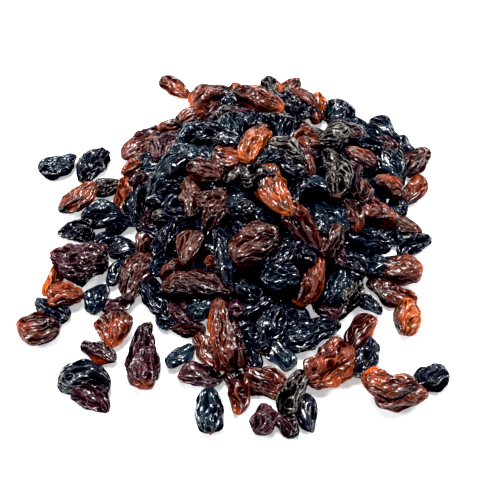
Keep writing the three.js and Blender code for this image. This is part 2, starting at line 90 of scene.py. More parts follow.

# Raisins on the heap: x, y, length, width, turn of the length from +X in degrees, how far the
# raisin stands out of the heap's surface, its kind and, on some, the bearing of its brighter side
# and the strength of the painted glow of light through its edge there, where it is not full.
ON_HEAP = [
    # far side, from left to right
    (-10.5, 57, 17, 12.5, 40, 1.5, "wine", 200, 0.7),
    (-5.5, 42.5, 12, 7.5, 55, -0.5, "grey"),
    (-17.5, 45, 12.5, 10, 55, 1.5, "red"),
    (-25, 47, 9.5, 6, 15, 0, "wine", 180),
    (-24.5, 36.5, 8.5, 6, 0, -1, "plum"),
    (-31.5, 45.5, 8.5, 6, 25, 0, "plum"),
    (6, 46, 20.5, 9.5, -30, 2, "wine", -30),
    (1.5, 34.5, 10, 6.5, -25, -0.5, "black"),
    (-3, 32.5, 13.5, 9, -65, 0, "blue"),
    (-10, 29, 10.5, 8.5, 0, 0, "black"),
    (18, 52, 9, 6.5, 25, 0.5, "black"),
    (17.5, 46, 9, 6.5, 0, 0, "black"),
    (20, 39.5, 9, 6, 35, -0.5, "black"),
    (22.5, 38, 9, 5.5, -60, -0.5, "wine"),
    (15, 27, 10.5, 6.5, 80, -0.8, "black"),
    (31, 28, 14, 8, 30, 0.5, "grey"),
    (45.5, 31.5, 9.5, 7.5, 0, 0, "black"),
    (52, 44, 14, 10, -35, 0, "blue"),
    (52.5, 35, 9.5, 7, -65, 0.5, "plum"),
    (59, 38, 10, 7, -55, 0, "black"),
    (53, 29.5, 9.5, 7.5, 0, -0.5, "blue"),
    (59.5, 30.5, 9, 6, 80, 0, "brown", 60),
    # left flank
    (-37.5, 37.5, 14, 9, 60, 0.5, "wine", 180, 0.4),
    (-34.5, 33.5, 13, 6.5, 25, -0.5, "wine"),
    (-32.5, 40, 9, 6, 40, -0.5, "wine"),
    (-27.5, 30.5, 14, 7.5, 80, 1, "plum"),
    (-24, 26, 12, 6.5, 75, -0.5, "plum"),
    (-30.5, 25.5, 9, 7.5, 25, -1, "blue"),
    (-37.5, 27, 9.5, 7, 5, 0, "red", 150, 0.3),
    (-34.5, 20, 10, 6.5, -10, -0.5, "plum"),
    (-24, 17.5, 15.5, 8.5, 25, 1, "blue"),
    (-40.5, 15, 16.5, 7, 80, 0.5, "red"),
    (-37.5, 10, 13, 6, 85, -0.5, "black"),
    (-33.5, 8.5, 14.5, 7, 80, 0.5, "black"),
    (-28.5, 12, 12, 7.5, 35, -0.5, "blue"),
    (-22.5, 9.5, 9.5, 7.5, 25, 0.5, "black"),
    (-27.5, 6.5, 9, 6.5, 0, -1, "black"),
    (-23, 4, 9, 6, 45, -1, "blue"),
    (-30.5, 3, 9.5, 6.5, 65, -0.5, "plum"),
    (-26, 0.5, 7.5, 6, 0, -0.5, "grey"),
    (-21, -1, 9.5, 6, -30, -0.5, "black"),
    (-30.5, -2.5, 10, 6, -25, -0.5, "black"),
    (-32, -6, 8.5, 7, 65, 0, "brown"),
    (-25, -8.5, 16, 7.5, 55, 1, "black"),
    (-25.5, -13, 13.5, 7, 50, -0.5, "blue"),
    (-23, -18, 8, 7, 0, 0, "wine"),
    (-34.5, -17, 19, 10.5, 70, 0.5, "brown"),
    (-28.5, -24.5, 17, 9.5, -65, 0.5, "black"),
    # crown
    (-20.5, 25, 9.5, 7.5, 0, -0.5, "blue"),
    (-16.5, 21, 10.5, 7, -65, -0.5, "blue"),
    (-12, 18.5, 9.5, 6.5, -55, -0.5, "blue"),
    (-11.5, 10.5, 15, 8.5, -35, 1, "brown"),
    (-4.5, 13, 10.5, 9.5, 0, 0.5, "red", 45, 0.25),
    (-1.5, 8, 9.5, 6.5, 45, -0.5, "grey"),
    (-4.5, 22.5, 9, 7.5, 0, -0.5, "blue"),
    (4.5, 19, 19.5, 9.5, 70, 1, "amber"),
    (15.5, 15.5, 13.5, 8.5, -30, 0.5, "grey"),
    (9.5, 13, 10.5, 7.5, 35, 0, "black"),
    (22.5, 23.5, 9, 7.5, 25, 0, "red"),
    (21.5, 17.5, 8.5, 7, 0, -1, "plum"),
    (22, 13, 10.5, 6.5, -65, -0.5, "wine"),
    (17, 9.5, 10.5, 7.5, -35, 0, "black"),
    (18.5, 2, 11.5, 7.5, 65, -0.5, "black"),
    (6, 4.5, 11.5, 10.5, 0, 0.5, "grey"),
    (11, 0.5, 20, 10.5, -65, 1, "amber"),
    (-16.5, 3, 16.5, 7.5, -85, 1, "brown"),
    (-9.5, 0, 12, 9, 0, 0, "brown"),
    (-8, -6, 10, 8.5, 25, 0.5, "brown"),
    (0, -4, 10, 7, -15, -0.5, "blue"),
    (32, 12, 22.5, 10, -85, 1, "grey"),
    (25.5, 5, 9.5, 7.5, 0, 0, "blue"),
    # right flank
    (41.5, 23, 12.5, 8, 0, -0.5, "wine", 90),
    (53, 24.5, 14.5, 9.5, -45, 0.5, "blue"),
    (51, 17, 10.5, 9.5, 0, 0.5, "red", 60, 0.4),
    (55.5, 12.5, 9, 6.5, -75, 0, "black"),
    (41, 9, 11, 7, 65, 0.5, "brown", 60, 0.3),
    (37.5, 14, 11, 6.5, -80, 0, "plum"),
    (42.5, 5, 10.5, 8, -25, 0, "wine"),
    (37.5, -0.5, 12, 6.5, -60, 0, "brown", -60, 0.3),
    (47.5, 4, 12.5, 8, 0, 0.5, "wine", 0, 0.3),
    (43.5, -6, 17, 9, -20, 0.5, "blue"),
    (25.5, -6.5, 10.5, 7, -40, -0.5, "black"),
    (30.5, -11, 12.5, 8.5, 60, 0.5, "brown"),
    (28.5, -11, 9, 7.5, 0, -0.5, "black"),
    (32, -14, 9, 6, -55, -0.5, "plum"),
    (37, -15.5, 12, 8.5, -35, 0.5, "blue"),
    (44, -13.5, 11, 8.5, -10, 0, "blue"),
    (33, -21, 18, 8.5, 65, 0, "blue"),
    # near side
    (20.5, -9, 18.5, 9, -50, 1, "wine", 60, 0.3),
    (-16.5, -14, 12.5, 9.5, 75, 1, "brown"),
    (-5, -18.5, 20.5, 8, -80, 1, "black"),
    (5, -16, 18, 12, 30, 1.5, "brown"),
    (-8.5, -19, 5.5, 4.5, 0, 0, "red"),
    (14.5, -18, 16, 7.5, 35, 0.5, "black"),
    (20.5, -16, 10, 6.5, -25, 0, "black"),
    (13, -23.5, 12.5, 11, 0, 0.5, "blue"),
    (23.5, -22.5, 17.5, 8, 75, 1, "red", 20, 0.35),
    (20, -28, 6, 4, 0, 0, "amber"),
    (2, -27.5, 10.5, 7, -35, 0.5, "black"),
    (-13.5, -24.5, 25, 9.5, -5, -0.5, "brown", 90, 0),
    (-19, -31.5, 13, 7.5, -35, 0, "plum"),
    (-24.5, -32, 9.5, 7, -55, 0, "blue"),
    (-17, -36.5, 12.5, 6.5, -15, 0, "brown"),
    (-13, -31, 10.5, 7, 35, 0, "blue"),
    (0, -31.5, 9, 6.5, 5, 0, "plum"),
    (5.5, -31.5, 11, 7, 35, 0, "black"),
    (1.5, -36, 9, 7.5, 0, 0, "black"),
    (10, -37.5, 19, 11, 65, 1, "black"),
]
# Raisins on the table: x, y, length, width, turn, how far the raisin is raised off the table by
# what it leans on, by how many degrees it rises towards its turn, its kind, its bright side and,
# on some, the strength of the painted glow of light through its edge there.
ON_TABLE = [
    # left
    (-64.5, 29.5, 14.5, 9, 25, 0, 0, "blue"),
    (-52.5, 29.5, 16, 8.5, 60, 0, 0, "black", 110, 0.35),
    (-56, 13.5, 16, 8.5, 40, 3, 12, "red", 60, 0),
    (-47.5, 8, 15, 10.5, 0, 0, 0, "blue"),
    (-46.5, 20.5, 12, 8, 10, 0, 0, "grey"),
    (-56, 1.5, 13.5, 7.5, -10, 0, 0, "black"),
    (-42.5, 3, 8, 6, 25, 0, 0, "black"),
    (-46.5, -2, 8.5, 6.5, 25, 0, 0, "black"),
    (-40, -5, 10, 9, 0, 0, 0, "black", 20),
    (-54, -11.5, 19.5, 13, -5, 0, 0, "plum", 140),
    (-41.5, -14.5, 12, 6.5, 65, 0, 0, "black"),
    (-63, -17.5, 12, 6, 80, 0, 0, "amber", 180),
    (-58, -24.5, 12, 9.5, 10, 0, 0, "red"),
    (-62, -29, 13, 7, -30, 0, 0, "black"),
    (-66, -36.5, 14.5, 11, -10, 0, 0, "wine", 180, 0.45),
    (-47.5, -25, 12, 8, 65, 0, 0, "blue"),
    (-40.5, -27, 11.5, 6.5, 15, 0, 0, "plum"),
    (-41, -36.5, 14, 11, 80, 0, 0, "red", -90),
    (-46, -45, 13, 7, -30, 0, 0, "plum", -100, 0.5),
    # front
    (-49.5, -56, 17.5, 12, -5, 0, 0, "blue"),
    (-46.5, -62.5, 14, 8.5, -45, 3, 0, "plum"),
    (-31, -47, 24, 9.5, -90, 0, 0, "plum", -90, 0.5),
    (-19.5, -46.5, 11, 7.5, 40, 0, 0, "blue"),
    (-10.5, -44.5, 14.5, 7.5, -55, 0, 0, "wine"),
    (-4.5, -41.5, 24.5, 11, 105, 3.5, 14, "wine", 180, 0.4),
    (3, -45, 13, 6.5, -80, 0, 0, "blue"),
    (-12.5, -53.5, 14.5, 9, -10, 0, 0, "plum", 180, 0.15),
    (-9.5, -66, 16, 9.5, 90, 0, 0, "blue"),
    (-1, -59, 16, 7.5, -80, 0, 0, "wine", -90, 0.4),
    (7.5, -56, 15.5, 10.5, -15, 0, 0, "wine"),
    (7.5, -69, 10.5, 8.5, 65, 0, 0, "plum"),
    (17, -60, 18, 8, 62, 2, 0, "grey"),
    (20.5, -66, 14, 8, -75, 0, 0, "blue"),
    (14.5, -70, 10, 6.5, -40, 0, 0, "plum", 135, 0.6),
    (12.5, -46, 13.5, 8, -40, 0, 0, "blue"),
    (18.5, -32.5, 9.5, 8.5, 0, 0.5, 0, "black"),
    (23.5, -38.5, 19, 9, 15, 0, 0, "black"),
    (28.5, -50.5, 19, 13.5, 50, 0, 0, "red", -50, 0.7),
    (39, -38.5, 15, 8.5, 55, 2, 0, "wine", 0),
    (40, -47, 16, 9.5, 65, 0, 0, "blue"),
    (28.5, -28.5, 13, 7, -45, 0, 0, "plum"),
    (34.5, -28, 13, 7.5, 55, 0, 0, "plum"),
    (43.5, -26.5, 9.5, 5.5, -40, 0, 0, "black"),
    (37, -23, 13, 9, 75, 2, 0, "grey"),
    (50.5, -22.5, 18, 7.5, -25, 0, 0, "wine", 0, 0.3),
    # right
    (55, -33, 13, 8.5, 80, 0, 0, "amber", 0),
    (47, -58, 17, 10.5, -10, 3.5, 0, "red", 135, 0.8),
    (50.5, -60.5, 17, 12, 5, 0, 0, "wine"),
    (60.5, -54, 12, 8, 20, 0, 0, "black"),
    (53.5, -14.5, 15.5, 12, -15, 0, 0, "wine", 0, 0.6),
    (59.5, -4, 14, 7.5, 35, 0, 0, "black"),
    (57, 4.5, 13, 7.5, -40, 0, 0, "brown", -40, 0.3),
    (52, 1, 10, 6, -50, 0, 0, "blue"),
    (61, 19.5, 15, 7.5, 55, 0, 0, "red", 45, 0.5),
    (63, 31.5, 14.5, 7.5, 55, 0, 0, "brown"),
    # far side
    (-24, 66.5, 14, 6.5, -40, 0, 0, "red", -60, 0.2),
    (-2.5, 64.5, 8.5, 6.5, 80, 0, 0, "red"),
    (4, 63.5, 10.5, 7, 10, 0, 0, "amber"),
    (11, 63, 10.5, 8.5, 80, 2, 0, "grey", 0),
    (18.5, 67, 11, 7, 50, 0, 0, "wine", 130),
    (21.5, 57, 15.5, 10, -45, 0, 0, "blue"),
    (23.5, 58.5, 12, 7, -40, 3.5, 0, "wine"),
    (29.5, 58, 13, 6.5, -75, 0, 0, "amber", 45),
    (26.5, 53.5, 10, 6, -55, 0, 0, "wine"),
    (36, 52, 13, 10.5, 65, 0.5, 0, "blue", 60, 0.4),
    (41.5, 45.5, 15.5, 10, -50, 0.5, 0, "blue"),
]

# The skin dries into ridges that part it into cells. Each level of them has the space between its
# ridges, how much longer than wide its cells are, and the height of its ridges.
Level = namedtuple("Level", "space stretch height")
LEVELS = (Level(2.4, 4.5, 0.85), Level(1.0, 8.0, 0.6))
USUAL_GIRTH = 3.7  # from the axis to the skin, at which the ridges have those heights
GIRTH_POWER = 0.6  # how much deeper the relief of a stouter raisin is
PLUMP_RELIEF, DRIED_RELIEF = 0.65, 0.6  # a plump raisin's relief, and what full drying adds to it
PLUMP_COARSE, DRIED_FINER = 1.4, 0.45  # the same for its ridges' spacing, which drying lessens
USUAL_SLENDERNESS = 1.9  # length to girth, at which the cells have that stretch
STRETCH_SPREAD = (0.7, 1.3)
FEWEST_CELLS, MOST_CELLS = 4, 160
RIDGE_WIDTH = 0.9  # of the space between ridges
RIDGE_SHARPNESS = 1.4  # the more, the narrower they are on top
CREST_SPAN = (10, 92)  # per cent of the skin that lies below the valleys and below the crests
CREST_SHARPNESS = 1.4  # the more, the less of a ridge is pale
TOP_DENSITY = 0.45  # how much closer the points stand on a raisin's upper side
TIP_GATHER = 0.55  # how strongly the folds run together at the two tips
TIP_FROM = 0.02  # distance from the axis, of the girth, inside which they gather no more
TWIST = 0.5  # radians either way, by which the folds wind round the raisin
WAVER, WAVER_LENGTH = 0.35, 5.0  # how far the ridges wander, and over what length
PATTERN_SHIFT = 500  # either way, so that no two raisins have the same fine wrinkles
DENTS = (2, 5)  # how many, where the last number isn't reached
DENT_DEPTH = (0.3, 1.1)
DENT_REACH = (0.45, 0.85)  # radians, seen from the raisin's middle
DENT_TOWARDS = (0.5, 1, 1)  # along, across and up: fewer of them at the tips
CRUMPLE, CRUMPLE_LENGTH = 0.25, 5.5  # slow unevenness: its height and its wavelength
END_SHARE = 0.35  # share of the relief that also moves a point along the raisin
NUB_WIDTH, NUB_PINCH = 0.16, 0.35  # the stem end
SCAR_REACH, SCAR_SHARE = 0.12, 0.4  # radians, and the share of raisins that show the scar
TONE_BASE, TONE_SWAY, TONE_PATCH = (0.4, 0.85), 0.4, 0.15  # from deep to bright, over a raisin
CLEAR_BRIGHTER = 0.6  # how much a kind's clear flesh adds to that
SIDED_TONE = (0.55, 0.6)  # the same, for a raisin whose bright side is given
TONE_PATCH_LENGTH = 5.0
# Painted shade on the undersides: the painted pale crests fade out there, along with the gloss
SHELTERED, OPEN_TO_SKY = -0.6, 0.3  # how far the skin faces up, where it is dull and where it is glossy
EDGE_STEEPNESS = 3.5  # how narrow the painted glow of light through an edge is
WRINKLE_STRETCH = 5.0  # how much longer than wide the finest cells are

# Dried grape skin and the wax on it. The wax bends light more than real wax does, so that its
# highlights still show at the picture's size.
SKIN_IOR, WAX_IOR = 1.45, 1.75
FLESH_RADIUS = (1.0, 0.45, 0.2)  # how far red, green and blue light go into the flesh
GRAIN_SHARE = 0.25  # height of the skin's grain, as a share of the fine wrinkles'
LINE_SHARE = 0.5  # how much of a pale crest is a fine wrinkle, and not a ridge
FINE_WRINKLE, PALE_LINE = 0.22, 0.15  # their widths, as shares of the space between the wrinkles
CLEAR_VALLEY = 0.3  # how much clear flesh lightens the painted shade between the ridges
# How the patterns on the skin are turned into heights, shades and amounts
MOTTLED = {"From Min": 0.3, "From Max": 0.7}
PATCHES = {**MOTTLED, "To Min": 0.45, "To Max": 1.55}
# Painted shade between the ridges and painted light along their crests, as shares of the colour
RIDGE_SHADES = {"From Min": 0.1, "From Max": 0.7, "To Max": 1.85}
SPECKS = {"From Min": 0.42, "From Max": 0.58, "To Min": 0.1, "To Max": 2.1}
# Where the upward crests turn pale: partly real wax and dust, partly painted highlight
DUST_AND_HIGHLIGHT_SPAN = {"From Min": 0.4, "From Max": 0.9}

# Sides and rings of the sphere that each raisin is shaped from
LONG_RAISIN_FROM = 14.0
LONG_DETAIL, SHORT_DETAIL, BURIED_DETAIL = (60, 48), (52, 40), (18, 12)

# A kind of raisin: the piece it is part of, how deep its folds, ridges and fine wrinkles are, how
# matt its skin is, how strong the gloss over it is and up to what height it is missing, how much
# light gets into its flesh, how pale its upward crests are painted, partly real wax and dust and
# partly painted highlight, and the colour that they are painted.
Kind = namedtuple("Kind", "piece folds ridges wrinkles rough gloss bare clear rubbed bloom")
KINDS = {
    "blue": Kind("blue_black_raisins", 1.0, 1.0, 0.8, 0.45, 1.0, 0.35, 0.0, 0.03, "frost_and_sheen"),
    "black": Kind("ridged_black_raisins", 0.8, 1.4, 1.0, 0.50, 1.0, 0.40, 0.0, 0.05, "frost_and_sheen"),
    "grey": Kind("grey_black_raisins", 0.8, 1.3, 1.0, 0.55, 0.7, 0.40, 0.0, 0.38, "ash_and_sheen"),
    "plum": Kind("plum_raisins", 1.0, 1.2, 0.9, 0.45, 0.8, 0.40, 0.1, 0.14, "dust_and_sheen"),
    "wine": Kind("wine_red_raisins", 1.1, 1.0, 0.5, 0.38, 0.6, 0.25, 0.2, 0.09, "dust_and_sheen"),
    "brown": Kind("dark_brown_raisins", 0.7, 1.3, 1.0, 0.50, 0.7, 0.40, 0.05, 0.28, "dust_and_sheen"),
    "red": Kind("red_brown_raisins", 1.0, 1.2, 0.8, 0.40, 0.7, 0.30, 0.18, 0.13, "dust_and_sheen"),
    "amber": Kind("amber_raisins", 1.1, 1.2, 0.7, 0.36, 0.7, 0.30, 0.25, 0.10, "dust_and_sheen"),
}

# Raisins under the ones that show, which close the gaps between them, and the core they lie on
BURIED_SPACING, BURIED_LENGTH, BURIED_WIDTH = 7.0, 12.0, 8.0
BURIED_DEPTH, BURIED_DEEPER = 5.0, 1.5
CORE_SUNK, CORE_RIM, CORE_LUMP, CORE_LUMP_LENGTH = 6.5, 1.2, 1.2, 6.0
CORE_REACH = 0.9
CORE_MOTTLE = 2.86  # width of a patch of its colour
HOLLOW_SIDES = 24

# The photograph's view: the camera's angle over the table, its distance from the origin and the
# width of its picture at that distance, in metres.
CAMERA_RISE = math.radians(57)
CAMERA_DISTANCE = 0.43
PICTURE_WIDTH = 0.1656

TABLE_GAP = 0.05  # the table lies this far under the raisins' flat undersides
CLOUD_SIZE, CLOUD_SHADE = 250, 0.985  # width and brightness of the table's slightly darker patches


def linear(hex_colour):
    """An sRGB hex colour as linear red, green and blue."""
    channels = (int(hex_colour[i:i + 2], 16) / 255 for i in (1, 3, 5))
    return tuple(c / 12.92 if c <= 0.04045 else ((c + 0.055) / 1.055) ** 2.4 for c in channels)


def draws(seed):
    """Seeded random numbers from 0 to 1, the same as the solid model's."""
    state, skipped = seed, 4  # the first draws of neighbouring seeds are alike
    while True:
        state = (state * 1664525 + 1013904223) % 2**32
        skipped -= 1
        if skipped < 0:
            yield state / 2**32


def reach_towards(angle):
    """How far the heap reaches from its middle in one direction, in radians from +X."""
    step = (angle / (2 * math.pi) + 1) % 1 * len(REACHES)
    start = np.floor(step).astype(int)
    share = (1 - np.cos(math.pi * (step - start))) / 2
    return REACHES[start] * (1 - share) + REACHES[(start + 1) % len(REACHES)] * share


def outward(x, y):
    """Share of the way from the middle of the heap to its rim."""
    reach = reach_towards(np.arctan2(y - HEAP_Y, x - HEAP_X))
    return np.minimum(np.hypot(x - HEAP_X, y - HEAP_Y) / reach, 1)


def heap_height(x, y):
    """Height of the middle of a raisin that lies on the heap."""
    flank = (1 - outward(x, y) ** CROWN_POWER) ** FLANK_POWER
    dip = np.exp(-(np.hypot(x - HOLLOW_X, y - HOLLOW_Y) / HOLLOW_REACH) ** 2)
    return np.maximum(HEAP_RIM, HEAP_RIM + HEAP_RISE * flank - HOLLOW_DEPTH * dip)


def heap_normal(x, y):
    """Direction straight out of the heap's surface, eased towards straight up."""
    step = 2
    along_x = (heap_height(x + step, y) - heap_height(x - step, y)) / (2 * step)
    along_y = (heap_height(x, y + step) - heap_height(x, y - step)) / (2 * step)
    return Vector((-SLOPE_FOLLOWED * along_x, -SLOPE_FOLLOWED * along_y, 1)).normalized()


class Raisin(namedtuple("Raisin", "on_heap x y length width turn raised rising kind edge thin",
                        defaults=(None, 1))):
    """One raisin of the layout, in millimetres and degrees."""

    def plan_reach(self, angle):
        """Distance from its middle to its outline on the plan, in one direction."""
        off = angle - math.radians(self.turn)
        return 0.5 * math.hypot(self.length * math.cos(off), self.width * math.sin(off))

    def is_clear_of(self, other):
        """Whether another raisin's middle is far enough away."""
        dx, dy = other.x - self.x, other.y - self.y
        angle = math.atan2(dy, dx)
        return math.hypot(dx, dy) > NEAREST * (self.plan_reach(angle) + other.plan_reach(angle))


@cache
def layout():
    """Every raisin in the order that its seed follows: the listed ones, then the fill."""
    raisins = [Raisin(True, *row[:6], 0, *row[6:]) for row in ON_HEAP]
    raisins += [Raisin(False, *row) for row in ON_TABLE]
    draw = draws(FILL_SEED)
    for i in range(FILL_TRIES):
        share = FILL_REACH * math.sqrt(next(draw))
        bearing = 2 * math.pi * next(draw)
        away = share * reach_towards(bearing)
        length = FILL_LONGEST + (FILL_SHORTEST - FILL_LONGEST) * (i / FILL_TRIES)
        width = length * (FILL_SLIM + (FILL_STOUT - FILL_SLIM) * next(draw))
        x, y = HEAP_X + away * math.cos(bearing), HEAP_Y + away * math.sin(bearing)
        turn, raised = 180 * next(draw), -FILL_SUNK - FILL_DEEPEST * next(draw)
        raisin = Raisin(True, x, y, length, width, turn, raised, 0, FILL_KINDS[i % len(FILL_KINDS)])
        hides_hollow = (abs(x - HOLLOW_X) < HOLLOW_REACH
                        and HOLLOW_FRONT < y < HOLLOW_Y + HOLLOW_REACH)
        if not hides_hollow and all(raisin.is_clear_of(other) for other in raisins):
            raisins.append(raisin)
    return raisins


Lie = namedtuple("Lie", "middle axes half taper bend arch phases")


def lay_down(raisin, index):
    """Where a raisin lies and how it is shaped: its middle, its three directions, its own lumps."""
    draw = draws(SHAPE_SEED + index)

    def either(size):
        return size * (2 * next(draw) - 1)

    thickness = raisin.width * (THINNEST + (THICKEST - THINNEST) * next(draw))
    taper, bend, arch = either(TAPER), either(BEND), either(ARCH)
    roll = math.radians(either(HEAP_ROLL if raisin.on_heap else TABLE_ROLL))
    pitch = math.radians(raisin.rising + either(HEAP_PITCH if raisin.on_heap else 0))
    phases = [2 * math.pi * next(draw) for _ in LUMPS]

    x, y, turn = raisin.x, raisin.y, math.radians(raisin.turn)
    up = heap_normal(x, y) if raisin.on_heap else Vector((0, 0, 1))
    along = Vector((math.cos(turn), math.sin(turn), 0))
    along = (along - up * along.dot(up)).normalized()
    across = up.cross(along)
    along = Matrix.Rotation(-pitch, 3, across) @ along
    across = Matrix.Rotation(roll, 3, along) @ across
    base = SETTLED * thickness / 2
    if raisin.on_heap:  # at the heap's rim the raisins lie on the table
        base = heap_height(x, y) + (base - HEAP_RIM) * outward(x, y) ** RIM_POWER
    return Lie(
        middle=np.array((x, y, base + raisin.raised)),
        axes=np.array((along, across, along.cross(across))),
        half=(raisin.length / 2, raisin.width / 2, thickness / 2),
        taper=taper, bend=bend, arch=arch, phases=phases,
    )


def smooth_noise(points, wavelength, rng, waves=12):
    """A smooth random field over the points, with a spread of 1 and bumps a wavelength apart."""
    turns = rng.normal(size=(waves, 3))
    turns *= 2 * math.pi / wavelength / np.linalg.norm(turns, axis=1, keepdims=True)
    phases = rng.uniform(0, 2 * math.pi, waves)
    return np.cos(points @ turns.T + phases).sum(axis=1) * math.sqrt(2 / waves)


def cell_ridges(points, weights, count, width, rng):
    """1 on the lines between random cells of the points, falling to 0 a width inside them. The
    lines are round on top, so that they catch the light along their length."""
    centres = points[rng.choice(len(points), count, replace=False, p=weights / weights.sum())]
    apart = (points**2).sum(1)[:, None] - 2 * points @ centres.T + (centres**2).sum(1)
    nearest = np.sqrt(np.maximum(np.partition(apart, 1, axis=1)[:, :2], 0))
    gap = nearest[:, 1] - nearest[:, 0]
    return np.cos(math.pi / 2 * np.minimum(gap / width, 1)) ** RIDGE_SHARPNESS


def wrinkled_relief(directions, half, kind, rng):
    """How far each point of the skin stands out, how much of a crest it is, from 0 to 1, and its
    place in a flat pattern that runs along the raisin. Lengths are in mm."""
    dx, dy, dz = directions.T
    off_axis = np.maximum(np.hypot(dy, dz), TIP_FROM)
    girth = math.sqrt(half[1] * half[2])
    wound = rng.uniform(-TWIST, TWIST) * dx
    around = girth * off_axis**-TIP_GATHER
    flat = np.stack((
        half[0] * dx,
        around * (np.cos(wound) * dy - np.sin(wound) * dz),
        around * (np.sin(wound) * dy + np.cos(wound) * dz),
    ), axis=1)
    flat += WAVER * np.stack([smooth_noise(flat, WAVER_LENGTH, rng) for _ in range(3)], axis=1)

    dried = rng.uniform()
    shrivel = (PLUMP_RELIEF + DRIED_RELIEF * dried) * (girth / USUAL_GIRTH) ** GIRTH_POWER
    coarse = PLUMP_COARSE - DRIED_FINER * dried
    slender = max(half[0] / girth / USUAL_SLENDERNESS, 1 / LEVELS[0].stretch)
    relief = CRUMPLE * shrivel * smooth_noise(directions * half, CRUMPLE_LENGTH, rng)
    crest = np.zeros(len(directions))
    skin_area = 4 * math.pi * girth * half[0]
    for level, depth in zip(LEVELS, (kind.folds, kind.ridges)):
        stretch = max(level.stretch * slender * rng.uniform(*STRETCH_SPREAD), 1)
        space = coarse * level.space
        count = min(max(round(skin_area / stretch / space**2), FEWEST_CELLS), MOST_CELLS)
        cells = flat / (stretch, 1, 1)
        ridges = cell_ridges(cells, off_axis, count, RIDGE_WIDTH * space, rng)
        relief += level.height * depth * shrivel * (ridges - ridges.mean())
        crest += level.height * depth * ridges
    for _ in range(rng.integers(*DENTS)):
        towards = rng.normal(size=3) * DENT_TOWARDS
        towards /= np.linalg.norm(towards)
        angle = np.arccos(np.clip(directions @ towards, -1, 1))
        dent_depth, dent_reach = rng.uniform(*DENT_DEPTH), rng.uniform(*DENT_REACH)
        relief -= dent_depth * shrivel * np.exp(-(angle / dent_reach) ** 2)
    low, high = np.percentile(crest, CREST_SPAN)
    crest = np.clip((crest - low) / (high - low), 0, 1) ** CREST_SHARPNESS
    return relief, crest, flat / coarse + rng.uniform(-PATTERN_SHIFT, PATTERN_SHIFT, 3)


def skin_points(lie, directions, relief, bluntness):
    """The points of a raisin's skin that lie in the directions from its middle."""
    dx, dy, dz = directions.T
    blunt = (abs(directions) ** bluntness).sum(axis=1) ** (-1 / bluntness)
    lump = 1
    for height, wave, phase in zip(LUMPS, LUMP_WAVES, lie.phases):
        lump = lump + height * np.sin(directions @ wave + phase)
    swell = 1 + relief / math.sqrt(lie.half[1] * lie.half[2])
    girth = blunt * lump * (1 + lie.taper * dx) * swell
    curve = 2 * lie.half[0] * (dx * dx - CURVE_LEVEL)
    along = lie.half[0] * blunt * dx * (1 + END_SHARE * (swell - 1))
    across = lie.half[1] * girth * dy + lie.bend * curve
    up = lie.half[2] * girth * dz + lie.arch * curve
    points = lie.middle + np.stack((along, across, up), axis=1) @ lie.axes
    points[:, 2] = np.maximum(points[:, 2], 0)  # flat where it rests on the table
    return points


Template = namedtuple("Template", "directions corners starts uv")


@cache
def sphere_template(sides, rings):
    """A sphere with its poles on X, as arrays that each raisin is shaped from."""
    bpy.ops.object.select_all(action="DESELECT")
    bpy.ops.mesh.primitive_uv_sphere_add(segments=sides, ring_count=rings, radius=1)
    sphere = bpy.context.object
    bpy.ops.object.mode_set(mode="EDIT")
    bpy.ops.transform.rotate(value=math.pi / 2, orient_axis="Y", center_override=(0, 0, 0))
    bpy.ops.object.mode_set(mode="OBJECT")
    mesh = sphere.data
    directions = np.empty(3 * len(mesh.vertices), np.float32)
    corners = np.empty(len(mesh.loops), np.int32)
    starts = np.empty(len(mesh.polygons), np.int32)
    uv = np.empty(2 * len(mesh.loops), np.float32)
    mesh.vertices.foreach_get("co", directions)
    mesh.loops.foreach_get("vertex_index", corners)
    mesh.polygons.foreach_get("loop_start", starts)
    mesh.uv_layers.active.data.foreach_get("uv", uv)
    bpy.data.objects.remove(sphere)
    bpy.data.meshes.remove(mesh)
    dx, dy, dz = directions.reshape(-1, 3).astype(float).T
    off_axis, around = np.hypot(dy, dz), np.arctan2(dy, dz)
    around = around - TOP_DENSITY * np.sin(around)
    directions = np.stack((dx, off_axis * np.sin(around), off_axis * np.cos(around)), axis=1)
    return Template(directions, corners, starts, uv.reshape(-1, 2))


Part = namedtuple("Part", "template points marks")
UV_NAME = "OFBake"
UV_MARGIN = 0.03


def joined_mesh(name, parts):
    """One mesh object of many parts, each with its own cell of the UV map and its own marks."""
    columns = math.ceil(math.sqrt(len(parts)))
    rows = math.ceil(len(parts) / columns)
    points = np.concatenate([part.points for part in parts]) * MM
    first = np.cumsum([0] + [len(part.points) for part in parts])
    loops = np.cumsum([0] + [len(part.template.corners) for part in parts])
    corners = np.concatenate([part.template.corners + first[i] for i, part in enumerate(parts)])
    starts = np.concatenate([part.template.starts + loops[i] for i, part in enumerate(parts)])
    filled = 1 - 2 * UV_MARGIN
    uv = np.concatenate([
        (part.template.uv * filled + UV_MARGIN + (i % columns, i // columns)) / (columns, rows)
        for i, part in enumerate(parts)
    ])
    mesh = bpy.data.meshes.new(name)
    mesh.vertices.add(len(points))
    mesh.vertices.foreach_set("co", points.ravel())
    mesh.loops.add(len(corners))
    mesh.loops.foreach_set("vertex_index", corners)
    mesh.polygons.add(len(starts))
    mesh.polygons.foreach_set("loop_start", starts)
    mesh.uv_layers.new(name=UV_NAME).data.foreach_set("uv", uv.ravel())
    for mark in parts[0].marks:
        values = np.concatenate([part.marks[mark] for part in parts])
        kind, field = ("FLOAT", "value") if values.ndim == 1 else ("FLOAT_VECTOR", "vector")
        mesh.attributes.new(mark, kind, "POINT").data.foreach_set(field, values.ravel())
    mesh.update(calc_edges=True)
    mesh.validate()
    mesh.shade_smooth()
    piece = bpy.data.objects.new(name, mesh)
    bpy.context.scene.collection.objects.link(piece)
    return piece


